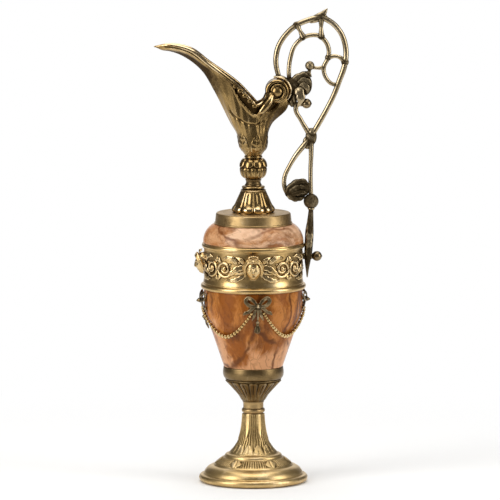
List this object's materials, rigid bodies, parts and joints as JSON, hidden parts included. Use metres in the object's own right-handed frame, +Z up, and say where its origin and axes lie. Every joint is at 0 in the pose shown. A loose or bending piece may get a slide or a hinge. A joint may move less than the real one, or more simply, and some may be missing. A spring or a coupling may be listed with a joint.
{
  "type": "decorative ewer",
  "caption": "Tall ornamental ewer with a turned marble body and shoulder held in cast brass mounts, a long beak spout and an openwork scroll handle.",
  "frame": {"origin": "centre of the foot's standing ring, on the axis of the turned pieces", "axes": "+Z up the axis of the body, -X towards the spout, +X towards the handle, -Y towards the front with the mask that faces the viewer"},
  "size_m": [0.175, 0.1056, 0.4284],
  "materials": {
    "brass_bright": "cast brass, worn bright on the high places",
    "brass_dark": "cast brass with a dark antique patina",
    "marble_amber": "polished veined marble, amber brown",
    "marble_rose": "polished veined marble, pale rose brown",
    "steel": "plain turned steel, hidden inside"
  },
  "bodies": {
    "root": {"foot": "brass_bright", "foot_washer": "steel", "foot_nut": "steel", "tie_rod": "steel", "stem_collar": "brass_bright", "body_cup": "brass_bright", "marble_vase": "marble_amber", "frieze_band": "brass_bright", "marble_shoulder": "marble_rose", "shoulder_cap": "brass_bright", "neck_bell": "brass_bright", "lower_neck_ring": "brass_bright", "neck_knop": "brass_bright", "upper_neck_ring": "brass_bright", "mouth": "brass_bright", "handle": "brass_dark", "handle_lower_screw": "brass_dark", "handle_lower_nut": "steel", "handle_upper_screw": "brass_dark", "mask_front": "brass_bright", "mask_back": "brass_bright", "mask_spout_side": "brass_bright", "bow_front": "brass_dark", "bow_back": "brass_dark", "bow_spout_side": "brass_dark", "bow_handle_side": "brass_dark", "swag_1": "brass_bright", "swag_2": "brass_bright", "swag_3": "brass_bright", "swag_4": "brass_bright"}
  },
  "joints": []
}
